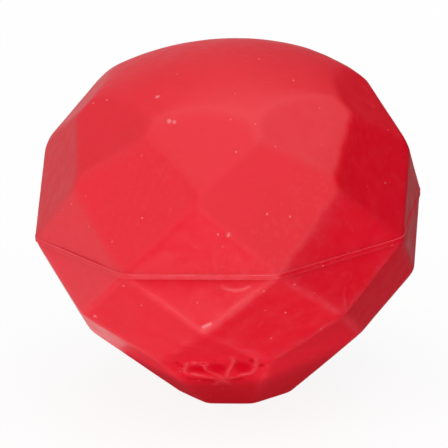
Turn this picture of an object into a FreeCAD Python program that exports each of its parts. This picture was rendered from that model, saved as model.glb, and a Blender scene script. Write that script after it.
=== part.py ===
import FreeCAD, Part
import math
import os
import Sketcher
from FreeCAD import Placement, Rotation, Vector

# Case opening friction ball, in millimetres.
#
# A palm-sized ball of tacky rubber with flat facets, pressed and twisted on a watch's case back.
# It is cut like a gem with eightfold symmetry. The frame's origin is the centre of the flat foot,
# +Z runs from the foot to the domed working face, and girdle corners lie on the X and Y axes.
#
# Away from the widest section, the girdle, each half has two tiers of facets. The kites start at
# the girdle's corners. The large facets stand over the girdle's sides, and run up to the dome on
# the crown and down to the foot on the base.
#
# Both halves are drawn upright from the seam plane, and the base is then turned over.

SIDES = 8
HALF_STEP = 180.0 / SIDES      # degrees from a corner of an octagon to the middle of a side
FULL_TURN = 360.0
SPARE = 1.0                    # how far a cut's outline passes clear of the rubber
PLUG_DIRECTION = 247.5         # degrees from +X towards +Y, over a side of the girdle

# Sketch elements and points, as constraints number them.
ORIGIN = (-1, 1)
LEVEL_AXIS = -1
UPRIGHT_AXIS = -2
START, END, CENTRE = 1, 2, 3

DIMENSIONS = [
    ("across_corners", 65.0, "girdle octagon, corner to corner"),
    ("crown_height", 28.0, "seam plane to the top of the dome"),
    ("foot_depth", 29.8, "seam plane to the foot"),
    ("girdle_rise", 11.5, "seam plane to the top point of a girdle triangle"),
    ("girdle_drop", 9.8, "seam plane to the bottom point of a girdle triangle"),
    ("star_slope", 45.0, "large crown facets, degrees from upright"),
    ("dome_radius", 44.5, "sphere of the working face"),
    ("foot_across", 19.8, "foot octagon, corner to corner"),
    ("band_thickness", 0.9, "band of rubber between the two halves"),
    ("flash_width", 0.3, "band standing proud of the girdle's sides"),
    ("plug_diameter", 12.4, "round filling plug in one base facet"),
    ("plug_length", 5.0, "plug, along the facet's normal"),
    ("plug_recess", 0.4, "plug's face below the facet"),
    ("plug_rise", 1.3, "plug's axis, from its facet's middle towards the girdle"),
]

# Expressions on the sheet that several features share.
CORNER_RADIUS = "ball.across_corners / 2"
SIDE_RADIUS = f"ball.across_corners / 2 * cos({HALF_STEP})"
FOOT_RADIUS = f"ball.foot_across / 2 * cos({HALF_STEP})"
CORNER_EXCESS = f"ball.across_corners / 2 * sin({HALF_STEP})^2"   # a corner's share beyond a kite's top
BASE_SLOPE = f"({SIDE_RADIUS} - {FOOT_RADIUS}) / (ball.foot_depth - ball.girdle_drop)"

document = FreeCAD.newDocument("friction_ball")


def make_sheet():
    """Put the driving dimensions in the document's spreadsheet."""
    sheet = document.addObject("Spreadsheet::Sheet", "ball")
    for row, (alias, size, note) in enumerate(DIMENSIONS, start=1):
        sheet.set(f"A{row}", alias)
        sheet.set(f"B{row}", str(size))
        sheet.setAlias(f"B{row}", alias)
        sheet.set(f"C{row}", note)
    document.recompute()
    return sheet


def make_body(name):
    """Start a body whose label is the name of its node."""
    body = document.addObject("PartDesign::Body", name)
    body.Label = name
    return body


def origin_feature(body, role):
    """Find one of a body's own origin planes or axes."""
    return next(item for item in body.Origin.OriginFeatures if item.Role == role)


def make_sketch(body, name, role):
    """Attach an empty sketch to one of the body's origin planes."""
    sketch = body.newObject("Sketcher::SketchObject", name)
    sketch.AttachmentSupport = (origin_feature(body, role), [""])
    sketch.MapMode = "FlatFace"
    return sketch


def radial_sketch(body, name, direction):
    """Start a sketch in the upright plane through the axis that faces the given direction."""
    sketch = make_sketch(body, name, "XZ_Plane")
    sketch.AttachmentOffset = Placement(Vector(), Rotation(Vector(0, 1, 0), direction))
    return sketch


def constrain(sketch, kind, *arguments):
    """Add one geometric constraint."""
    return sketch.addConstraint(Sketcher.Constraint(kind, *arguments))


def drive(sketch, expression, kind, *arguments):
    """Add one dimension and bind it to the sheet; its first value is the sketched one."""
    index = constrain(sketch, kind, *arguments)
    sketch.setExpression(f"Constraints[{index}]", expression)


def pin(sketch, element, point, place, across, up):
    """Hold a point at a distance across and up from the sketch's origin."""
    drive(sketch, across, "DistanceX", *ORIGIN, element, point, place.x)
    if up:
        drive(sketch, up, "DistanceY", *ORIGIN, element, point, place.y)
    else:
        constrain(sketch, "PointOnObject", element, point, LEVEL_AXIS)


def outline(sketch, corners):
    """Draw a closed outline of straight lines and return the first line's index."""
    first = sketch.GeometryCount
    for start, end in zip(corners, corners[1:] + corners[:1]):
        sketch.addGeometry(Part.LineSegment(start, end))
    count = len(corners)
    for number in range(count):
        constrain(sketch, "Coincident", first + number, END, first + (number + 1) % count, START)
    return first


def sheet_value(alias):
    """Read one driving dimension as a number."""
    return float(getattr(ball, alias))


def octagon_sketch(body, name, radius, radius_expression):
    """Draw a regular octagon with one corner on the X axis."""
    sketch = make_sketch(body, name, "XY_Plane")
    angles = [math.radians(2 * HALF_STEP * number) for number in range(SIDES)]
    corners = [Vector(radius * math.cos(angle), radius * math.sin(angle), 0) for angle in angles]
    first = outline(sketch, corners)
    circle = sketch.addGeometry(Part.Circle(Vector(), Vector(0, 0, 1), radius), True)
    constrain(sketch, "Coincident", circle, CENTRE, *ORIGIN)
    drive(sketch, radius_expression, "Radius", circle, radius)
    for number in range(SIDES):
        constrain(sketch, "PointOnObject", first + number, START, circle)
        if number:
            constrain(sketch, "Equal", first, first + number)
    constrain(sketch, "PointOnObject", first, START, LEVEL_AXIS)
    return sketch


def cut_all_round(body, name, direction, foot_radius, slope, height):
    """Cut one flat facet through the rubber and repeat it on all eight sides.

    The facet leaves the seam plane at foot_radius from the axis and leans inwards by slope.
    Each of the three is a pair: a number to sketch with, and the expression that drives it.
    """
    sketch = radial_sketch(body, f"{name}_profile", direction)
    top = height[0] + SPARE
    reach = sheet_value("across_corners") + SPARE
    lean = Vector(foot_radius[0] - slope[0] * top, top, 0)
    corners = [Vector(foot_radius[0], 0, 0), Vector(reach, 0, 0), Vector(reach, top, 0), lean]
    first = outline(sketch, corners)
    top_expression = f"{height[1]} + {SPARE}"
    lean_expression = f"{foot_radius[1]} - ({slope[1]}) * ({top_expression})"
    pin(sketch, first, START, corners[0], foot_radius[1], "")
    pin(sketch, first + 1, START, corners[1], f"ball.across_corners + {SPARE}", "")
    constrain(sketch, "Vertical", first + 1)
    constrain(sketch, "Horizontal", first + 2)
    pin(sketch, first + 3, START, lean, lean_expression, top_expression)
    before = body.Shape.Volume
    pocket = body.newObject("PartDesign::Pocket", f"{name}_cut")
    pocket.Profile = sketch
    pocket.Type = "Length"
    pocket.Midplane = True
    pocket.setExpression("Length", "2 * ball.across_corners")
    sketch.Visibility = False
    document.recompute()
    pattern = body.newObject("PartDesign::PolarPattern", name)
    pattern.Originals = [pocket]
    pattern.Axis = (origin_feature(body, "Z_Axis"), [""])
    pattern.Angle = FULL_TURN
    pattern.Occurrences = SIDES
    body.Tip = pattern
    document.recompute()
    if body.Shape.Volume >= before:
        raise ValueError(f"{name} removed nothing")


def half_blank(body, height_expression):
    """Pad the octagonal blank of one half, from the band's face to the half's full height."""
    radius = sheet_value("across_corners") / 2
    sketch = octagon_sketch(body, f"{body.Name}_girdle", radius, CORNER_RADIUS)
    sketch.setExpression("AttachmentOffset.Base.z", "ball.band_thickness / 2")
    pad = body.newObject("PartDesign::Pad", f"{body.Name}_blank")
    pad.Profile = sketch
    pad.setExpression("Length", f"{height_expression} - ball.band_thickness / 2")
    document.recompute()


def cut_dome(body):
    """Turn the spherical working face on top of the crown."""
    height = sheet_value("crown_height")
    radius = sheet_value("dome_radius")
    reach = sheet_value("across_corners") / 2 + SPARE
    centre = Vector(0, height - radius, 0)
    rim_angle = math.acos(reach / radius)
    rim = centre + Vector(reach, radius * math.sin(rim_angle), 0)
    top = height + SPARE
    sketch = make_sketch(body, "dome_profile", "XZ_Plane")
    circle = Part.Circle(centre, Vector(0, 0, 1), radius)
    arc = sketch.addGeometry(Part.ArcOfCircle(circle, rim_angle, math.pi / 2))
    path = [Vector(0, height, 0), Vector(0, top, 0), Vector(reach, top, 0), rim]
    axis_line, top_line, side_line = [
        sketch.addGeometry(Part.LineSegment(start, end)) for start, end in zip(path, path[1:])
    ]
    constrain(sketch, "Coincident", arc, END, axis_line, START)
    constrain(sketch, "Coincident", axis_line, END, top_line, START)
    constrain(sketch, "Coincident", top_line, END, side_line, START)
    constrain(sketch, "Coincident", side_line, END, arc, START)
    constrain(sketch, "PointOnObject", arc, CENTRE, UPRIGHT_AXIS)
    constrain(sketch, "PointOnObject", axis_line, START, UPRIGHT_AXIS)
    constrain(sketch, "Vertical", axis_line)
    constrain(sketch, "Horizontal", top_line)
    constrain(sketch, "Vertical", side_line)
    drive(sketch, "ball.dome_radius", "Radius", arc, radius)
    drive(sketch, "ball.crown_height", "DistanceY", *ORIGIN, axis_line, START, height)
    drive(sketch, f"ball.crown_height + {SPARE}", "DistanceY", *ORIGIN, axis_line, END, top)
    drive(sketch, f"{CORNER_RADIUS} + {SPARE}", "DistanceX", *ORIGIN, top_line, END, reach)
    before = body.Shape.Volume
    groove = body.newObject("PartDesign::Groove", "working_dome")
    groove.Profile = sketch
    groove.ReferenceAxis = (origin_feature(body, "Z_Axis"), [""])
    groove.Angle = FULL_TURN
    sketch.Visibility = False
    body.Tip = groove
    document.recompute()
    if body.Shape.Volume >= before:
        raise ValueError("the dome removed nothing")


def plug_profile(body, name, start, length):
    """Draw the plug's half section in its facet's own plane of symmetry.

    The section begins at start, measured inwards from the facet, and ends a length further in.
    Both are pairs of a number and an expression. Axis0 of the sketch is the plug's axis.
    """
    side = sheet_value("across_corners") / 2 * math.cos(math.radians(HALF_STEP))
    foot = sheet_value("foot_across") / 2 * math.cos(math.radians(HALF_STEP))
    girdle_point = Vector(side, sheet_value("girdle_drop"), 0)
    foot_point = Vector(foot, sheet_value("foot_depth"), 0)
    slant = foot_point - girdle_point
    down = Vector(slant).normalize()
    inward = Vector(-down.y, down.x, 0)
    radius = sheet_value("plug_diameter") / 2
    from_girdle = slant.Length / 2 - sheet_value("plug_rise")
    centre = girdle_point + down * from_girdle
    near = centre + inward * start[0]
    far = near + inward * length[0]
    sketch = radial_sketch(body, name, -PLUG_DIRECTION)
    axis = sketch.addGeometry(Part.LineSegment(centre, far), True)
    facet = sketch.addGeometry(Part.LineSegment(girdle_point, foot_point), True)
    pin(sketch, facet, START, girdle_point, SIDE_RADIUS, "ball.girdle_drop")
    pin(sketch, facet, END, foot_point, FOOT_RADIUS, "ball.foot_depth")
    constrain(sketch, "PointOnObject", axis, START, facet)
    constrain(sketch, "Perpendicular", axis, facet)
    first = outline(sketch, [near, near + down * radius, far + down * radius, far])
    constrain(sketch, "PointOnObject", first, START, axis)
    constrain(sketch, "Coincident", axis, END, first + 3, START)
    constrain(sketch, "Parallel", first, facet)
    constrain(sketch, "Parallel", first + 2, facet)
    constrain(sketch, "Perpendicular", first + 1, facet)
    drive(sketch, f"{start[1]} + {length[1]}", "Distance", axis, start[0] + length[0])
    drive(sketch, length[1], "Distance", first + 3, length[0])
    drive(sketch, "ball.plug_diameter / 2", "Distance", first, radius)
    half_slant = f"sqrt(({SIDE_RADIUS} - {FOOT_RADIUS})^2 + (ball.foot_depth - ball.girdle_drop)^2) / 2"
    drive(sketch, f"{half_slant} - ball.plug_rise", "Distance", facet, START, axis, START, from_girdle)
    return sketch


def make_upper_half():
    """The crown: girdle triangles, kites, large star facets and the dome."""
    body = make_body("upper_half")
    radius = sheet_value("across_corners") / 2
    height = (sheet_value("crown_height"), "ball.crown_height")
    half_blank(body, height[1])
    kite_slope = radius * math.sin(math.radians(HALF_STEP)) ** 2 / sheet_value("girdle_rise")
    cut_all_round(body, "crown_kites", 0.0, (radius, CORNER_RADIUS),
                  (kite_slope, f"{CORNER_EXCESS} / ball.girdle_rise"), height)
    star_angle = math.radians(sheet_value("star_slope"))
    star_foot = radius * math.cos(math.radians(HALF_STEP)) / math.cos(star_angle)
    cut_all_round(body, "star_facets", HALF_STEP,
                  (star_foot, f"{SIDE_RADIUS} / cos(ball.star_slope)"),
                  (math.tan(star_angle), "tan(ball.star_slope)"), height)
    cut_dome(body)
    body.setExpression("Placement.Base.z", "ball.foot_depth")
    return body


def make_lower_half():
    """The base: girdle triangles, kites, large facets down to the foot, and the plug's bore."""
    body = make_body("lower_half")
    radius = sheet_value("across_corners") / 2
    height = (sheet_value("foot_depth"), "ball.foot_depth")
    half_blank(body, height[1])
    kite_slope = radius * math.sin(math.radians(HALF_STEP)) ** 2 / sheet_value("girdle_drop")
    cut_all_round(body, "base_kites", 0.0, (radius, CORNER_RADIUS),
                  (kite_slope, f"{CORNER_EXCESS} / ball.girdle_drop"), height)
    side = radius * math.cos(math.radians(HALF_STEP))
    foot = sheet_value("foot_across") / 2 * math.cos(math.radians(HALF_STEP))
    slope = (side - foot) / (height[0] - sheet_value("girdle_drop"))
    cut_all_round(body, "base_facets", HALF_STEP,
                  (side + slope * sheet_value("girdle_drop"),
                   f"{SIDE_RADIUS} + {BASE_SLOPE} * ball.girdle_drop"),
                  (slope, BASE_SLOPE), height)
    depth = sheet_value("plug_recess") + sheet_value("plug_length")
    profile = plug_profile(body, "bore_profile", (-SPARE, f"-{SPARE}"),
                           (depth + SPARE, f"ball.plug_recess + ball.plug_length + {SPARE}"))
    before = body.Shape.Volume
    bore = body.newObject("PartDesign::Groove", "plug_bore")
    bore.Profile = profile
    bore.ReferenceAxis = (profile, ["Axis0"])
    bore.Angle = FULL_TURN
    profile.Visibility = False
    body.Tip = bore
    document.recompute()
    if body.Shape.Volume >= before:
        raise ValueError("the plug's bore removed nothing")
    body.Placement = Placement(Vector(), Rotation(Vector(1, 0, 0), 180))
    body.setExpression("Placement.Base.z", "ball.foot_depth")
    return body


def make_seam_band():
    """The band in the parting plane, whose edge stands proud of the girdle as flash."""
    body = make_body("seam_band")
    expression = f"{CORNER_RADIUS} + ball.flash_width / cos({HALF_STEP})"
    spread = sheet_value("flash_width") / math.cos(math.radians(HALF_STEP))
    radius = sheet_value("across_corners") / 2 + spread
    sketch = octagon_sketch(body, "band_outline", radius, expression)
    pad = body.newObject("PartDesign::Pad", "band")
    pad.Profile = sketch
    pad.Midplane = True
    pad.setExpression("Length", "ball.band_thickness")
    document.recompute()
    body.setExpression("Placement.Base.z", "ball.foot_depth")
    return body


def make_gate_plug():
    """The round plug that fills the gate in one facet of the base."""
    body = make_body("gate_plug")
    profile = plug_profile(body, "plug_section",
                           (sheet_value("plug_recess"), "ball.plug_recess"),
                           (sheet_value("plug_length"), "ball.plug_length"))
    plug = body.newObject("PartDesign::Revolution", "plug")
    plug.Profile = profile
    plug.ReferenceAxis = (profile, ["Axis0"])
    plug.Angle = FULL_TURN
    profile.Visibility = False
    body.Placement = Placement(Vector(), Rotation(Vector(1, 0, 0), 180))
    body.setExpression("Placement.Base.z", "ball.foot_depth")
    document.recompute()
    return body


def check_document():
    """Stop if any object failed to build."""
    for item in document.Objects:
        if "Invalid" in item.State or "Error" in item.State:
            raise ValueError(f"{item.Label} did not build: {item.State}")


def export_nodes(nodes):
    """Write each node's solid to its own file."""
    os.makedirs("parts", exist_ok=True)
    for node in nodes:
        shape = node.Shape
        if shape.isNull() or not shape.isValid() or len(shape.Solids) != 1:
            raise ValueError(f"{node.Label} is not one valid solid")
    for node in nodes:
        node.Shape.exportStep(f"parts/{node.Label}.step")
        print(node.Label, round(node.Shape.Volume, 1), node.Shape.BoundBox)


ball = make_sheet()
nodes = [make_upper_half(), make_lower_half(), make_seam_band(), make_gate_plug()]
document.recompute()
check_document()
export_nodes(nodes)
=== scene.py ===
import math

import bpy
import numpy as np
from mathutils import Matrix, Vector


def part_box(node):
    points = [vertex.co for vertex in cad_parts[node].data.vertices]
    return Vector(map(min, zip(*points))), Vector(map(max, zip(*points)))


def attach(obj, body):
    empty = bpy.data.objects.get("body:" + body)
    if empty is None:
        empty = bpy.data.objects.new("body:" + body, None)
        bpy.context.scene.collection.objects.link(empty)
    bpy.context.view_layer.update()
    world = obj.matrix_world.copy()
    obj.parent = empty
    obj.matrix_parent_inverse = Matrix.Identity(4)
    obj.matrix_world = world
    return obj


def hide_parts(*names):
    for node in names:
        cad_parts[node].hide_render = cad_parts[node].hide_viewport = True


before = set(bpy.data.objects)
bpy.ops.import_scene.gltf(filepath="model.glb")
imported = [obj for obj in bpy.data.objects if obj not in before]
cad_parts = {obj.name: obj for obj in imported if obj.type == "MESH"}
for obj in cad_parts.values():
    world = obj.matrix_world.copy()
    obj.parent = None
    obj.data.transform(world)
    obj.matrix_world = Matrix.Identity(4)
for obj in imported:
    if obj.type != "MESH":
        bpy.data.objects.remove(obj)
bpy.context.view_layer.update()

# Case opening friction ball: a faceted ball of tacky red rubber.
#
# Directions round the ball are bearings: 0 faces -Y, and they grow towards +X. Heights are
# measured from the seam plane. Girdle corners lie at bearings 0, 45, 90 and so on.

MM = 0.001
SIDES = 8
STEP = 2 * math.pi / SIDES
HALF_STEP = STEP / 2

# Sizes read from the frame.
band_low, band_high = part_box("seam_band")
SEAM_Z = (band_low.z + band_high.z) / 2
BAND_HALF = (band_high.z - band_low.z) / 2
FLASH = 0.3 * MM
CORNER = band_high.x - FLASH / math.cos(HALF_STEP)
SIDE = CORNER * math.cos(HALF_STEP)
CROWN_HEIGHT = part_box("upper_half")[1].z - SEAM_Z
FOOT_DEPTH = SEAM_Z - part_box("lower_half")[0].z

# The facets, as the CAD model cuts them.
GIRDLE_RISE = 11.5 * MM
GIRDLE_DROP = 9.8 * MM
STAR_LATITUDE = math.radians(45)
DOME_RADIUS = 44.5 * MM
FOOT_SIDE = 9.9 * MM * math.cos(HALF_STEP)
PLUG_RADIUS = 6.2 * MM
PLUG_BEARING = -HALF_STEP
PLUG_RISE = 1.3 * MM
PLUG_DEPTH = 2.2 * MM            # how deep the plug reaches, as shown
SEAT_DEPTH = 2.4 * MM            # how far the base is sunk under the plug
PLUG_OVERLAP = 0.8              # millimetres that the plug's face laps over the rim of its seat
BAND_DEPTH = 2.0 * MM            # how far the band reaches in behind the sides

# How the rubber departs from sharp flat facets.
EDGE_SOFTNESS = 0.18 * MM
EDGE_SHIFT = 0.35 * EDGE_SOFTNESS      # facets stand this far out, so that edges stay near their place
EDGE_GLINT_AND_RUB = 0.36 * MM            # how fast the paleness along edges fades: painted highlight where the bevels catch the light, with some rub
WAVE_HEIGHT, WAVE_LENGTH = 0.035 * MM, 19 * MM
PEEL_HEIGHT, PEEL_LENGTH = 0.006 * MM, 2.6 * MM
GRID = 156                      # cells along a quarter of the ball's girth
FAR = 99                        # beyond any measure on the ball, in millimetres


# ---------------------------------------------------------------- the ball's surface

def tier(bearing, latitude, distance):
    """Eight facet planes: their outward normals, and their distance from the ball's centre."""
    bearings = bearing + STEP * np.arange(SIDES)
    across = math.cos(latitude)
    up = np.full(SIDES, math.sin(latitude))
    normals = np.stack([across * np.sin(bearings), -across * np.cos(bearings), up], axis=1)
    return normals, np.full(SIDES, distance)


def crown_planes():
    """Girdle sides, kites and large facets above the seam."""
    latitude = math.atan((CORNER - SIDE * math.cos(HALF_STEP)) / GIRDLE_RISE)
    tiers = [
        tier(HALF_STEP, 0.0, SIDE),
        tier(0.0, latitude, CORNER * math.cos(latitude)),
        tier(HALF_STEP, STAR_LATITUDE, SIDE),
    ]
    return [np.concatenate(part) for part in zip(*tiers)]


MAIN_SLOPE = (SIDE - FOOT_SIDE) / (FOOT_DEPTH - GIRDLE_DROP)
MAIN_LATITUDE = -math.atan(MAIN_SLOPE)
MAIN_DISTANCE = (SIDE + MAIN_SLOPE * GIRDLE_DROP) * math.cos(MAIN_LATITUDE)


def base_planes():
    """Girdle sides, kites, large facets and the foot below the seam."""
    latitude = -math.atan((CORNER - SIDE * math.cos(HALF_STEP)) / GIRDLE_DROP)
    tiers = [
        tier(HALF_STEP, 0.0, SIDE),
        tier(0.0, latitude, CORNER * math.cos(latitude)),
        tier(HALF_STEP, MAIN_LATITUDE, MAIN_DISTANCE),
        (np.array([[0.0, 0.0, -1.0]]), np.array([FOOT_DEPTH])),
    ]
    return [np.concatenate(part) for part in zip(*tiers)]


def softened(points, planes, dome):
    """How far points lie outside the softened ball, the outward normals, and the edge measure."""
    normals, distances = planes
    outside = points @ normals.T - distances
    if dome:
        centre = np.array([0, 0, CROWN_HEIGHT - DOME_RADIUS])
        spoke = points - centre
        length = np.linalg.norm(spoke, axis=1)
        outside = np.column_stack([outside, length - DOME_RADIUS])
    highest = outside.max(axis=1, keepdims=True)
    share = np.exp((outside - highest) / EDGE_SOFTNESS)
    total = share.sum(axis=1, keepdims=True)
    value = highest[:, 0] + EDGE_SOFTNESS * np.log(total[:, 0]) - EDGE_SHIFT
    share /= total
    slope = share[:, :len(normals)] @ normals
    if dome:
        slope += share[:, -1:] * spoke / length[:, None]
    ranked = np.partition(outside, -2, axis=1)
    return value, slope, ranked[:, -1] - ranked[:, -2]


def cast(origins, directions, planes, dome):
    """Follow rays from inside the ball to its softened surface."""
    normals, distances = planes
    facing = directions @ normals.T
    room = distances - origins @ normals.T
    with np.errstate(divide="ignore", invalid="ignore"):
        reach = np.where(facing > 1e-6, room / facing, np.inf).min(axis=1)
    for _ in range(10):
        points = origins + directions * reach[:, None]
        value, slope, _ = softened(points, planes, dome)
        reach = reach - value / (slope * directions).sum(axis=1)
    points = origins + directions * reach[:, None]
    _, slope, margin = softened(points, planes, dome)
    slope /= np.linalg.norm(slope, axis=1, keepdims=True)
    return points, slope, margin


# ---------------------------------------------------------------- moulding marks

CROWN_SEED = 3
BASE_SEED = 4
BAND_SEEDS = 11, 12


def waves(points, wavelength, seed):
    """Smooth unevenness of about unit size, from a few crossing waves."""
    rng = np.random.default_rng(seed)
    total = np.zeros(len(points))
    count = 14
    for _ in range(count):
        direction = rng.normal(size=3)
        direction *= 2 * math.pi / (wavelength * rng.uniform(0.7, 1.5) * np.linalg.norm(direction))
        total += np.sin(points @ direction + rng.uniform(0, 2 * math.pi))
    return total / math.sqrt(count)


def bump(offset, width):
    """A smooth bell, 1 at no offset."""
    return np.exp(-(offset / width) ** 2)


def unevenness(points, seed):
    """The slow waves and the fine orange peel of a moulded face."""
    slow = WAVE_HEIGHT * waves(points, WAVE_LENGTH, seed)
    return slow + PEEL_HEIGHT * waves(points, PEEL_LENGTH, seed + 2)


def bearing_of(points):
    """Bearings of points round the ball, in degrees."""
    return np.degrees(np.arctan2(points[:, 0], -points[:, 1]))


def between(value, start, end, fade):
    """1 between start and end, fading to 0 outside."""
    rising = 1 / (1 + np.exp(-(value - start) / fade))
    falling = 1 / (1 + np.exp((value - end) / fade))
    return rising * falling


def stroke(across, along, path, width):
    """A soft line along a path of (across, along) points: 1 on the line, 0 away from it."""
    nearest = np.full(len(across), np.inf)
    for (x0, y0), (x1, y1) in zip(path, path[1:]):
        length = (x1 - x0) ** 2 + (y1 - y0) ** 2
        share = np.clip(((across - x0) * (x1 - x0) + (along - y0) * (y1 - y0)) / length, 0, 1)
        gap = np.hypot(across - x0 - share * (x1 - x0), along - y0 - share * (y1 - y0))
        nearest = np.minimum(nearest, gap)
    return bump(nearest, width)


# The marks round the plug, in millimetres in the plane of its facet: across, then up the slope.
# Raised creases and sunk trenches: a path and its width.
CREASES = [
    ([(-5.4, -1.8), (-4.9, -2.7), (-3.1, -3.6), (-1.0, -4.2), (0.3, -4.6)], 0.34),
    ([(0.3, -4.6), (1.8, -4.2), (3.5, -3.4), (5.3, -2.6), (6.2, -0.9)], 0.34),
    ([(0.4, -4.2), (-0.9, -2.7), (-1.8, -1.3), (-1.9, 0.6)], 0.30),
    ([(1.1, -4.0), (1.8, -1.5), (2.5, 0.2), (3.2, 2.2), (3.3, 4.1)], 0.34),
    ([(6.2, -0.9), (6.8, 1.5), (7.1, 3.6)], 0.38),
    ([(-5.4, -1.8), (-4.8, 0.3), (-4.4, 1.7)], 0.34),
    ([(0.3, -5.0), (-1.2, -7.0)], 0.40),
    ([(0.3, -5.0), (1.2, -6.9)], 0.40),
]
TRENCHES = [
    ([(-5.2, -4.9), (-3.1, -5.4), (-1.5, -5.9)], 0.55),
    ([(1.9, -5.6), (3.5, -4.9)], 0.55),
    ([(-6.1, 1.8), (-5.4, -0.2)], 0.40),
    ([(-6.9, -1.2), (-5.9, -1.7)], 0.35),
]
# Sunk cells between the creases: centre, and half widths.
CELLS = [
    (-2.9, -1.3, 2.3, 1.8),
    (0.2, -0.8, 1.9, 2.4),
    (4.2, -0.3, 1.9, 2.9),
    (6.2, 2.3, 0.4, 1.2),
    (7.6, 0.6, 0.5, 0.9),
]
# Ring-shaped burst bubbles: centre and radius.
BUBBLES = [(-1.7, 1.5, 0.62), (-3.2, 1.9, 0.35)]

# Torn flash, a scratch and a bit of lint: bearing, and millimetres above the seam.
CRESCENT = [(-16.0, -1.5), (-14.6, -1.9), (-12.0, -2.1), (-9.8, -1.9), (-8.2, -1.5)]
SCRATCH = [(22.8, -5.8), (23.5, -9.2)]
LINT = [(-22.4, -8.4), (-20.2, -7.9)]

# Lumps on the band: bearing, level in half heights of the band, and size in millimetres.
LUMPS = [
    (15.9, 0.7, 0.16),
    (19.6, 0.2, 0.08),
    (28.8, 0.9, 0.16),
    (41.6, 0.3, 0.12),
]

# Bits of dust: place in millimetres, with heights from the seam, and size.
FLECKS = [
    (-13.0, -10.5, 24.7, 0.36),
    (-12.6, -16.5, 22.4, 0.34),
    (-11.9, -17.0, 22.4, 0.28),
    (16.9, -19.9, 19.6, 0.24),
    (-7.0, -29.6, 6.9, 0.28),
    (-25.9, -13.4, -9.6, 0.28),
    (1.0, -27.2, -12.4, 0.30),
]


def plug_frame():
    """The plug's centre on its facet, and the facet's across, up-slope and outward directions."""
    outward = Vector((
        math.cos(MAIN_LATITUDE) * math.sin(PLUG_BEARING),
        -math.cos(MAIN_LATITUDE) * math.cos(PLUG_BEARING),
        math.sin(MAIN_LATITUDE),
    ))
    across = Vector((math.cos(PLUG_BEARING), math.sin(PLUG_BEARING), 0))
    up = outward.cross(across)
    spoke = Vector((math.sin(PLUG_BEARING), -math.cos(PLUG_BEARING), 0))
    top = spoke * SIDE - Vector((0, 0, GIRDLE_DROP))
    bottom = spoke * FOOT_SIDE - Vector((0, 0, FOOT_DEPTH))
    return (top + bottom) / 2 + up * PLUG_RISE, across, up, outward


PLUG_CENTRE, PLUG_ACROSS, PLUG_UP, PLUG_OUT = plug_frame()


def scar(across, up):
    """Height, paleness and painted shade of the creased spot, at places in the facet's plane; the shade
    darkens its sunk cells and trenches.
    """
    lines = np.zeros(len(across))
    for path, width in CREASES:
        lines = np.maximum(lines, stroke(across, up, path, width))
    for x, y, size in BUBBLES:
        lines = np.maximum(lines, bump(np.hypot(across - x, up - y) - size, 0.26))
    star = np.exp(-((across - 0.3) / 1.1) ** 2 - ((up + 5.4) / 1.5) ** 2)
    lines = np.maximum(lines, 0.8 * star)
    # Sunk cells and trenches; this mask also paints their hollows darker, as painted shade.
    hollow = np.zeros(len(across))
    for x, y, width, height in CELLS:
        oval = ((across - x) / width) ** 2 + ((up - y) / height) ** 2
        hollow = np.maximum(hollow, np.exp(-oval ** 2))
    for path, width in TRENCHES:
        hollow = np.maximum(hollow, 0.7 * stroke(across, up, path, width))
    hollow *= 1 - lines
    return (0.10 * lines - 0.30 * hollow) * MM, lines, hollow


def place_on_plug_facet(points):
    """Coordinates in the plug's facet: across and up in millimetres, and height above it."""
    offset = points - np.array(PLUG_CENTRE)
    return offset @ np.array(PLUG_ACROSS) / MM, offset @ np.array(PLUG_UP) / MM, offset @ np.array(PLUG_OUT)


def flecks(points):
    """How much of each place is covered by a bit of dust."""
    cover = np.zeros(len(points))
    for x, y, z, size in FLECKS:
        gap = np.linalg.norm(points - np.array([x, y, z]) * MM, axis=1)
        cover = np.maximum(cover, np.exp(-(gap / (size * MM)) ** 4))
    return cover


def unrolled(path):
    """A path of bearings and rises, with the bearings turned to millimetres along the girdle."""
    return [(math.radians(bearing) * SIDE / MM, rise) for bearing, rise in path]


def side_glint_and_rub(points, planes):
    """A pale band on the girdle side right of the front corner, fading away from the kite facet: painted
    highlight where that edge catches the light, with some rub.
    """
    normals, distances = planes
    kite = distances[SIDES] - points @ normals[SIDES]
    side = distances[0] - points @ normals[0]
    return np.exp(-np.maximum(kite, 0) / (1.3 * MM)) * np.exp(-(side / (0.2 * MM)) ** 2)


def crown_marks(points):
    """Moulding marks above the seam: height, paleness, painted shade and dust."""
    # The pale band beside the front kite is painted highlight, with some rub.
    pale = 0.6 * side_glint_and_rub(points, crown_planes())
    return unevenness(points, CROWN_SEED), pale, np.zeros(len(points)), flecks(points)


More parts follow.
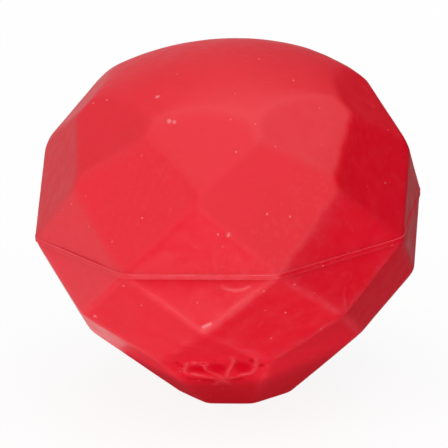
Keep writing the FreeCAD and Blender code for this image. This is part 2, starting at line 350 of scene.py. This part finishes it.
def base_marks(points):
    """Moulding marks below the seam: height, paleness, painted shade in the recesses and dust."""
    height = unevenness(points, BASE_SEED)
    bearing = bearing_of(points)
    rise = points[:, 2] / MM
    arc = np.radians(bearing) * SIDE / MM
    # A sink just under the band, deepest on the side left of the front corner.
    reach = 0.15 + 0.55 * between(bearing, -44, -8, 3.0) + 0.1 * np.sin(np.radians(3 * bearing + 40))
    sink = np.exp(np.minimum(rise + BAND_HALF / MM, 0) / 0.9) * reach
    height -= 0.30 * sink * MM
    # The sink is also painted darker: painted shade under the band's overhang.
    painted_shade = np.clip(0.9 * sink, 0, 1)
    torn = stroke(arc, rise, unrolled(CRESCENT), 0.22)
    scratch = stroke(arc, rise, unrolled(SCRATCH), 0.22)
    lint = np.maximum(stroke(arc, rise, unrolled(LINT), 0.20), flecks(points))
    height += (0.10 * torn + 0.05 * scratch + 0.08 * lint) * MM
    # The pale band beside the front kite is painted highlight, with some rub.
    pale = np.maximum(0.8 * np.maximum(torn, scratch), 0.35 * side_glint_and_rub(points, base_planes()))
    # The creased spot, and the seat under the plug.
    across, up, _ = place_on_plug_facet(points)
    on_facet = (np.hypot(across, up) < 11) & (bearing > -60) & (bearing < 15) & (rise < -9)
    spot_height, spot_pale, spot_shade = scar(across, up)
    seat = between(np.hypot(across, up), -FAR, PLUG_RADIUS / MM - 0.1, 0.06)
    height += np.where(on_facet, spot_height - SEAT_DEPTH * seat, 0)
    pale = np.maximum(pale, np.where(on_facet, spot_pale, 0))
    painted_shade = np.maximum(painted_shade, np.where(on_facet, spot_shade, 0))
    return height, pale, painted_shade, lint


# ---------------------------------------------------------------- meshes

def add_piece(name, vertices, faces, attributes, material):
    """Make a mesh object in the row frame, smooth shaded, with its vertex attributes."""
    mesh = bpy.data.meshes.new(name)
    mesh.from_pydata(vertices.tolist(), [], faces)
    for key, values in attributes.items():
        layer = mesh.attributes.new(key, "FLOAT", "POINT")
        layer.data.foreach_set("value", np.asarray(values, np.float32))
    mesh.polygons.foreach_set("use_smooth", np.ones(len(mesh.polygons), bool))
    mesh.materials.append(material)
    mesh.update()
    piece = bpy.data.objects.new(name, mesh)
    bpy.context.scene.collection.objects.link(piece)
    return piece


def half_grid(up):
    """Ray directions over half a ball, denser beside the seam, and the faces that join them.

    Four bands of columns rise from the seam, and a square patch closes them over the pole.
    """
    near_seam = np.array([0, 0.12, 0.24, 0.36, 0.48, 0.6, 0.74, 0.9, 1.08, 1.28, 1.5, 1.75, 2.0, 2.28])
    fine = np.arctan(near_seam * MM / SIDE)
    rest = np.linspace(fine[-1], math.pi / 4, GRID // 2 - 4)[1:]
    rises = np.tan(np.concatenate([fine, rest]))
    steps = np.tan(np.linspace(-1, 1, GRID + 1) * math.pi / 4)
    columns = []
    for quarter in range(4):
        turn = quarter * math.pi / 2
        x = math.cos(turn) - steps[:-1] * math.sin(turn)
        y = math.sin(turn) + steps[:-1] * math.cos(turn)
        columns.append(np.stack([x, y], axis=1))
    columns = np.concatenate(columns)
    count = len(columns)
    sides = np.concatenate([np.column_stack([columns, np.full(count, up * rise)]) for rise in rises])
    inner = [(steps[i], steps[j], up) for i in range(1, GRID) for j in range(1, GRID)]
    directions = np.concatenate([sides, np.array(inner)])
    directions /= np.linalg.norm(directions, axis=1, keepdims=True)
    faces = []
    for row in range(len(rises) - 1):
        for column in range(count):
            after = (column + 1) % count
            low, high = row * count, (row + 1) * count
            faces.append((low + column, low + after, high + after, high + column))
    top_row = (len(rises) - 1) * count

    def corner(i, j):
        """The vertex at a place in the square patch; its border is the last row of columns."""
        if i == GRID and j < GRID:
            return top_row + j
        if j == GRID and i > 0:
            return top_row + GRID + GRID - i
        if i == 0 and j > 0:
            return top_row + 2 * GRID + GRID - j
        if j == 0:
            return top_row + (3 * GRID + i) % count
        return len(sides) + (i - 1) * (GRID - 1) + j - 1

    for i in range(GRID):
        for j in range(GRID):
            faces.append((corner(i, j), corner(i + 1, j), corner(i + 1, j + 1), corner(i, j + 1)))
    return directions, faces, count


def make_half(name, up, planes, dome, marks, material):
    """Build one half of the ball as a closed solid with a flat face on the seam band."""
    directions, faces, rim = half_grid(up)
    origins = np.tile([0.0, 0.0, up * BAND_HALF], (len(directions), 1))
    points, normals, margin = cast(origins, directions, planes, dome)
    height, pale, painted_shade, lint = marks(points)
    at_seam = np.zeros(len(points), bool)
    at_seam[:rim] = True
    points = points + normals * height[:, None]
    points[at_seam, 2] = up * BAND_HALF
    # Pale facet edges: painted highlight where the bevels catch the light, with some rub; kept weak on the
    # lit crown.
    edge = np.exp(-(margin / EDGE_GLINT_AND_RUB) ** 2) * (0.2 if dome else 1.0)
    middle = np.array([[0.0, 0.0, up * BAND_HALF]])
    points = np.concatenate([points, middle]) + np.array([0, 0, SEAM_Z])
    last = len(points) - 1
    faces = faces + [(last, (column + 1) % rim, column) for column in range(rim)]
    if up < 0:
        faces = [face[::-1] for face in faces]
    layers = {"edge": edge, "pale": pale, "painted_shade": painted_shade, "lint": lint}
    layers = {key: np.append(values, 0) for key, values in layers.items()}
    piece = add_piece(name, points, faces, layers, material)
    piece.data.set_sharp_from_angle(angle=math.radians(50))
    return piece


def make_band(material):
    """The raised parting band: two thin lips with a shallow valley between, uneven all round."""
    count = 900
    bearings = np.linspace(-180, 180, count, endpoint=False)
    levels = np.linspace(-1.5, 1.5, 31)          # in half heights of the band
    crown, base = crown_planes(), base_planes()
    radians = np.radians(bearings)
    spokes = np.stack([np.sin(radians), -np.cos(radians), np.zeros(count)], axis=1)
    left = between(bearings, -44, -5, 3.0)
    around = np.stack([np.sin(radians), np.cos(radians), 0 * radians], axis=1) * SIDE
    uneven = waves(around, 7 * MM, BAND_SEEDS[0])
    ragged = waves(around, 1.9 * MM, BAND_SEEDS[1])
    rows, painted_highlights = [], []
    for level in levels:
        z = level * BAND_HALF
        origins = np.tile([0.0, 0.0, z], (count, 1))
        points, _, _ = cast(origins, spokes, crown if z >= 0 else base, False)
        body = 1 / (1 + math.exp((abs(level) - 1.12) / 0.07))
        top_lip = math.exp(-((level - 0.92) / 0.26) ** 2)
        low_lip = math.exp(-((level + 0.92) / 0.26) ** 2)
        lift = 0.07 + 0.04 * left + 0.02 * uneven
        lips = top_lip * (0.07 - 0.06 * left + 0.03 * uneven)
        lips += low_lip * (0.06 + 0.05 * left - 0.02 * uneven)
        proud = (lift + lips + 0.012 * ragged) * body - 0.25 * (1 - body)
        for bearing, at_level, size in LUMPS:
            lump = bump(bearings - bearing, 0.9) * math.exp(-((level - at_level) / 0.5) ** 2)
            proud = proud + size * lump
        rows.append(points + spokes * (proud * MM)[:, None])
        # The lips, and the whole band left of the front corner, are painted paler: painted highlight where
        # they catch the light.
        painted_highlights.append(np.clip(0.6 * (top_lip + low_lip) * (1 - left) + 0.8 * left, 0, 1) * body)
    for z in (levels[-1] * BAND_HALF, levels[0] * BAND_HALF):
        ring = spokes * (SIDE - BAND_DEPTH)
        ring[:, 2] = z
        rows.append(ring)
        painted_highlights.append(np.zeros(count))
    points = np.concatenate(rows) + np.array([0, 0, SEAM_Z])
    faces = []
    total = len(rows)
    for row in range(total):
        low, high = row * count, (row + 1) % total * count
        for column in range(count):
            after = (column + 1) % count
            faces.append((low + column, low + after, high + after, high + column))
    none = np.zeros(len(points))
    layers = {"edge": none, "pale": np.concatenate(painted_highlights), "painted_shade": none}
    return add_piece("parting_band", points, faces, layers, material)


def make_plug(material):
    """The creased plug: a fine-meshed disc that fills its seat, flush with the facet."""
    rings, spokes = 66, 300
    reach = PLUG_RADIUS / MM + PLUG_OVERLAP
    radii = reach * np.linspace(0, 1, rings + 1)[1:] ** 0.85
    turns = np.linspace(0, 2 * math.pi, spokes, endpoint=False)
    across = np.concatenate([[0.0], *[radius * np.cos(turns) for radius in radii]])
    up = np.concatenate([[0.0], *[radius * np.sin(turns) for radius in radii]])
    height, pale, painted_shade = scar(across, up)
    base = np.array(PLUG_CENTRE)
    flat = base + np.outer(across * MM, PLUG_ACROSS) + np.outer(up * MM, PLUG_UP)
    wave = unevenness(flat, BASE_SEED)
    # The face lies a hair above the facet, and its border dips a hair below.
    tuck = 0.006 - 0.02 * between(np.hypot(across, up), reach - 0.3, FAR, 0.1)
    top = flat + np.outer(height + wave + EDGE_SHIFT + tuck * MM, PLUG_OUT)
    rim = len(top) - spokes
    under = flat[rim:] - np.outer(np.full(spokes, PLUG_DEPTH), PLUG_OUT)
    bottom = base - np.array(PLUG_OUT) * PLUG_DEPTH
    points = np.concatenate([top, under, [bottom]]) + np.array([0, 0, SEAM_Z])
    faces = []
    for column in range(spokes):
        after = (column + 1) % spokes
        faces.append((0, 1 + column, 1 + after))
        for ring in range(rings):
            low, high = 1 + ring * spokes, 1 + (ring + 1) * spokes
            faces.append((low + column, high + column, high + after, low + after))
        faces.append((len(points) - 1, len(top) + after, len(top) + column))
    grow = len(points) - len(top)
    layers = {
        "edge": np.zeros(len(points)),
        "pale": np.append(pale, np.zeros(grow)),
        "painted_shade": np.append(painted_shade, np.zeros(grow)),
    }
    return add_piece("creased_plug", points, faces, layers, material)


# ---------------------------------------------------------------- rubber

RED = (0.82, 0.0045, 0.022)
WARM_RED = (0.79, 0.0035, 0.018)
# The darker red of painted shade in recesses.
PAINTED_SHADE_RED = (0.58, 0.002, 0.012)
PALE_RED = (0.88, 0.13, 0.17)
DUST = (0.95, 0.45, 0.45)
GLOSS = 0.42
PATTERN_SHIFT = (0.37, 0.11, 0.23)


def link(tree, source, target):
    """Join an output to an input."""
    tree.links.new(source, target)


def noise_node(tree, where, scale, detail, roughness):
    """A noise pattern in the ball's own coordinates."""
    node = tree.nodes.new("ShaderNodeTexNoise")
    node.inputs["Scale"].default_value = scale
    node.inputs["Detail"].default_value = detail
    node.inputs["Roughness"].default_value = roughness
    link(tree, where, node.inputs["Vector"])
    return node.outputs["Fac"]


def ramp(tree, value, start, end, low, high):
    """Map a value between two limits to another pair, smoothly and clamped."""
    node = tree.nodes.new("ShaderNodeMapRange")
    node.interpolation_type = "SMOOTHSTEP"
    for key, number in zip(("From Min", "From Max", "To Min", "To Max"), (start, end, low, high)):
        node.inputs[key].default_value = number
    link(tree, value, node.inputs["Value"])
    return node.outputs["Result"]


def math_node(tree, operation, first, second):
    """Combine two values, each a number or an output."""
    node = tree.nodes.new("ShaderNodeMath")
    node.operation = operation
    for socket, value in zip(node.inputs, (first, second)):
        if isinstance(value, (int, float)):
            socket.default_value = value
        else:
            link(tree, value, socket)
    return node.outputs["Value"]


def blend_colour(tree, share, first, second):
    """Mix two colours by a share."""
    node = tree.nodes.new("ShaderNodeMix")
    node.data_type = "RGBA"
    link(tree, share, node.inputs["Factor"])
    for key, colour in (("A", first), ("B", second)):
        socket = next(item for item in node.inputs if item.name == key and item.type == "RGBA")
        if isinstance(colour, tuple):
            socket.default_value = (*colour, 1.0)
        else:
            link(tree, colour, socket)
    return next(item for item in node.outputs if item.type == "RGBA")


def attribute(tree, name):
    """A value stored on the mesh, 0 where the mesh has none."""
    node = tree.nodes.new("ShaderNodeAttribute")
    node.attribute_name = name
    return node.outputs["Fac"]


def rubber(name):
    """Satin moulded rubber: mottled red, bloomed and scuffed, with fine grain and dust, with painted
    highlight on pale edges and band lips, and painted shade in recesses.
    """
    material = bpy.data.materials.new(name)
    material.use_nodes = True
    tree = material.node_tree
    shader = tree.nodes["Principled BSDF"]
    coordinates = tree.nodes.new("ShaderNodeTexCoord")
    shift = tree.nodes.new("ShaderNodeMapping")
    shift.inputs["Location"].default_value = PATTERN_SHIFT
    link(tree, coordinates.outputs["Object"], shift.inputs["Vector"])
    where = shift.outputs["Vector"]

    broad = noise_node(tree, where, 70, 3, 0.55)
    cloudy = noise_node(tree, where, 380, 4, 0.6)
    grain = noise_node(tree, where, 2600, 3, 0.6)
    colour = blend_colour(tree, ramp(tree, broad, 0.3, 0.7, 0, 1), RED, WARM_RED)
    bloom = math_node(tree, "MULTIPLY", ramp(tree, cloudy, 0.45, 0.75, 0, 1), 0.02)
    colour = blend_colour(tree, bloom, colour, PALE_RED)
    # Paler along facet edges: painted highlight where the bevels catch the light, with some rub.
    edge = math_node(tree, "MULTIPLY", attribute(tree, "edge"), ramp(tree, cloudy, 0.3, 0.65, 0.08, 0.20))
    colour = blend_colour(tree, edge, colour, PALE_RED)
    # Darker in recesses: painted shade under the band and in the creased spot's hollows.
    colour = blend_colour(tree, math_node(tree, "MULTIPLY", attribute(tree, "painted_shade"), 0.8), colour, PAINTED_SHADE_RED)
    # Paler where marked: scuffs, torn flash, scratch and creases, plus painted highlight on the band's lips
    # and beside the front kite.
    scuff_and_highlight = math_node(tree, "MULTIPLY", attribute(tree, "pale"), ramp(tree, cloudy, 0.25, 0.6, 0.12, 0.30))
    colour = blend_colour(tree, scuff_and_highlight, colour, PALE_RED)
    mottle = noise_node(tree, where, 1100, 3, 0.65)
    thickness = ramp(tree, broad, 0.35, 0.65, 0.015, 0.075)
    powder = math_node(tree, "MULTIPLY", ramp(tree, mottle, 0.48, 0.68, 0, 1), thickness)
    # No powder where shade is painted.
    unshaded = math_node(tree, "SUBTRACT", 1.0, attribute(tree, "painted_shade"))
    powder = math_node(tree, "MULTIPLY", powder, unshaded)
    colour = blend_colour(tree, powder, colour, PALE_RED)
    colour = blend_colour(tree, math_node(tree, "MULTIPLY", attribute(tree, "lint"), 0.5), colour, DUST)

    cells = tree.nodes.new("ShaderNodeTexVoronoi")
    cells.inputs["Scale"].default_value = 430
    link(tree, where, cells.inputs["Vector"])
    spot = ramp(tree, cells.outputs["Distance"], 0.04, 0.10, 1, 0)
    chosen = ramp(tree, cells.outputs["Color"], 0.35, 0.85, 0, 1)
    speck = math_node(tree, "MULTIPLY", spot, chosen)
    colour = blend_colour(tree, math_node(tree, "MULTIPLY", speck, 0.42), colour, DUST)
    link(tree, colour, shader.inputs["Base Color"])

    roughness = ramp(tree, cloudy, 0.3, 0.7, 0.33, 0.43)
    link(tree, roughness, shader.inputs["Roughness"])
    shader.inputs["IOR"].default_value = 1.5
    worn = math_node(tree, "POWER", attribute(tree, "edge"), 2.0)
    unworn = math_node(tree, "SUBTRACT", 1.0, math_node(tree, "MULTIPLY", worn, 0.7))
    # Less gloss where shade is painted: painted shade over the reflection in the hollows.
    gloss = math_node(tree, "MULTIPLY", math_node(tree, "MULTIPLY", unshaded, unworn), GLOSS)
    link(tree, gloss, shader.inputs["Specular IOR Level"])
    shader.inputs["Subsurface Weight"].default_value = 0.12
    shader.inputs["Subsurface Radius"].default_value = (1.0, 0.12, 0.08)
    shader.inputs["Subsurface Scale"].default_value = 0.003

    relief = math_node(tree, "ADD", math_node(tree, "MULTIPLY", grain, 0.35),
                       math_node(tree, "ADD", math_node(tree, "MULTIPLY", cloudy, 0.65), speck))
    bumps = tree.nodes.new("ShaderNodeBump")
    bumps.inputs["Strength"].default_value = 0.35
    bumps.inputs["Distance"].default_value = 0.05 * MM
    link(tree, relief, bumps.inputs["Height"])
    link(tree, bumps.outputs["Normal"], shader.inputs["Normal"])
    return material


# ---------------------------------------------------------------- studio

SHADE_RADIUS = 24 * MM
CAMERA_BEARING = -12.6
CAMERA_ELEVATION = 19.0
CAMERA_ROLL = 3.17
CAMERA_DISTANCE = 0.716
PICTURE_WIDTH = 73.3 * MM        # what the frame spans at the ball
PICTURE_OFFSET = (-0.88 * MM, -1.65 * MM)

# The light tent. Dark openings: bearing, elevation, half widths of the dark core and of its
# faded edge in degrees, and the share of light left. Bright patches: bearing, elevation, half
# width and brightness.
TENT_LIGHT = 0.79
OPENINGS = [
    (55, -5, 87, 129, 0.0),
    (190, 14, 22, 58, 0.5),
    (-85, -72, 12, 42, 0.35),
]
PATCHES = [
    (-31, -48, 24, 6.2),
    (12, -22, 25, 1.9),
    (0, 17, 48, 1.15),
    (62, 74, 50, 1.85),
    (-84, 26, 44, 0.16),
    (165, -27, 32, 0.38),
    (140, 40, 34, 0.2),
]


def make_floor():
    """A plain pale floor that the ball stands on. It takes the ball's faint shadow, but casts no light."""
    mesh = bpy.data.meshes.new("floor")
    reach = 3.0
    mesh.from_pydata([(-reach, -reach, 0), (reach, -reach, 0), (reach, reach, 0), (-reach, reach, 0)], [],
                     [(0, 1, 2, 3)])
    material = bpy.data.materials.new("pale_floor")
    material.use_nodes = True
    shader = material.node_tree.nodes["Principled BSDF"]
    shader.inputs["Base Color"].default_value = (0.10, 0.10, 0.10, 1)
    shader.inputs["Roughness"].default_value = 0.9
    shader.inputs["Specular IOR Level"].default_value = 0.1
    shader.inputs["Emission Color"].default_value = (1, 1, 1, 1)
    shader.inputs["Emission Strength"].default_value = 0.89
    mesh.materials.append(material)
    floor = bpy.data.objects.new("floor", mesh)
    bpy.context.scene.collection.objects.link(floor)
    floor.visible_glossy = False
    floor.visible_diffuse = False
    floor.visible_shadow = False


def make_shade():
    """A dark disc just under the floor: the shade below the ball, as its lower facets see it."""
    turns = np.linspace(0, 2 * math.pi, 64, endpoint=False)
    ring = [(SHADE_RADIUS * math.cos(turn), SHADE_RADIUS * math.sin(turn), -0.5 * MM) for turn in turns]
    mesh = bpy.data.meshes.new("shade")
    mesh.from_pydata(ring, [], [tuple(range(len(ring)))])
    material = bpy.data.materials.new("dark_shade")
    material.use_nodes = True
    shader = material.node_tree.nodes["Principled BSDF"]
    shader.inputs["Base Color"].default_value = (0.02, 0.02, 0.02, 1)
    shader.inputs["Roughness"].default_value = 1.0
    # Its faint red glow is painted bounce light: the ball's own red thrown back from the shaded table.
    shader.inputs["Emission Color"].default_value = (1, 0.12, 0.17, 1)
    shader.inputs["Emission Strength"].default_value = 0.42
    mesh.materials.append(material)
    shade = bpy.data.objects.new("shade", mesh)
    bpy.context.scene.collection.objects.link(shade)


def direction(bearing, elevation):
    """The unit vector that points towards a bearing and an elevation, in degrees."""
    turn, tilt = math.radians(bearing), math.radians(elevation)
    return Vector((math.sin(turn) * math.cos(tilt), -math.cos(turn) * math.cos(tilt), math.sin(tilt)))


def cap(tree, coordinates, bearing, elevation, outer, inner, low, high):
    """A level that goes from low outside a cone of directions to high inside it."""
    node = tree.nodes.new("ShaderNodeVectorMath")
    node.operation = "DOT_PRODUCT"
    link(tree, coordinates, node.inputs[0])
    node.inputs[1].default_value = direction(bearing, elevation)
    limits = math.cos(math.radians(outer)), math.cos(math.radians(inner))
    return ramp(tree, node.outputs["Value"], *limits, low, high)


def make_lights():
    """Light the ball from all round with the tent, in which openings dim and patches brighten."""
    world = bpy.data.worlds.new("studio")
    world.use_nodes = True
    tree = world.node_tree
    coordinates = tree.nodes.new("ShaderNodeTexCoord").outputs["Generated"]
    light = TENT_LIGHT
    for bearing, elevation, inner, outer, left in OPENINGS:
        level = cap(tree, coordinates, bearing, elevation, outer, inner, 1.0, left)
        light = math_node(tree, "MULTIPLY", level, light)
    for bearing, elevation, half_width, brightness in PATCHES:
        patch = cap(tree, coordinates, bearing, elevation, half_width, 0, 0.0, brightness)
        light = math_node(tree, "ADD", light, patch)
    background = tree.nodes["Background"]
    background.inputs["Color"].default_value = (1, 1, 1, 1)
    link(tree, light, background.inputs["Strength"])
    bpy.context.scene.world = world


def make_camera():
    """A long lens at the viewing angle, tilted a little."""
    turn, roll = math.radians(CAMERA_BEARING), math.radians(CAMERA_ROLL)
    back = direction(CAMERA_BEARING, CAMERA_ELEVATION)
    right = Vector((math.cos(turn), math.sin(turn), 0))
    up = back.cross(right)
    tilted_right = right * math.cos(roll) - up * math.sin(roll)
    tilted_up = up * math.cos(roll) + right * math.sin(roll)
    target = Vector((0, 0, SEAM_Z)) + tilted_right * PICTURE_OFFSET[0] + tilted_up * PICTURE_OFFSET[1]
    data = bpy.data.cameras.new("camera")
    data.sensor_width = 36.0
    data.lens = data.sensor_width * CAMERA_DISTANCE / PICTURE_WIDTH
    data.clip_start = 0.05
    data.clip_end = 20.0
    camera = bpy.data.objects.new("camera", data)
    axes = Matrix((tilted_right, tilted_up, back)).transposed().to_4x4()
    camera.matrix_world = Matrix.Translation(target + back * CAMERA_DISTANCE) @ axes
    bpy.context.scene.collection.objects.link(camera)
    bpy.context.scene.camera = camera


# ---------------------------------------------------------------- the scene

bpy.context.scene.view_settings.view_transform = "Standard"

make_camera()
make_lights()
make_floor()
make_shade()

crown_rubber = rubber("crown_rubber")
base_rubber = rubber("base_rubber")
seam_rubber = rubber("seam_rubber")
plug_rubber = rubber("plug_rubber")

crown = make_half("faceted_crown", 1, crown_planes(), True, crown_marks, crown_rubber)
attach(crown, "root")
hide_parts("upper_half")

base = make_half("faceted_base", -1, base_planes(), False, base_marks, base_rubber)
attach(base, "root")
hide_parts("lower_half")

band = make_band(seam_rubber)
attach(band, "root")
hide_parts("seam_band")

plug = make_plug(plug_rubber)
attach(plug, "root")
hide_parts("gate_plug")
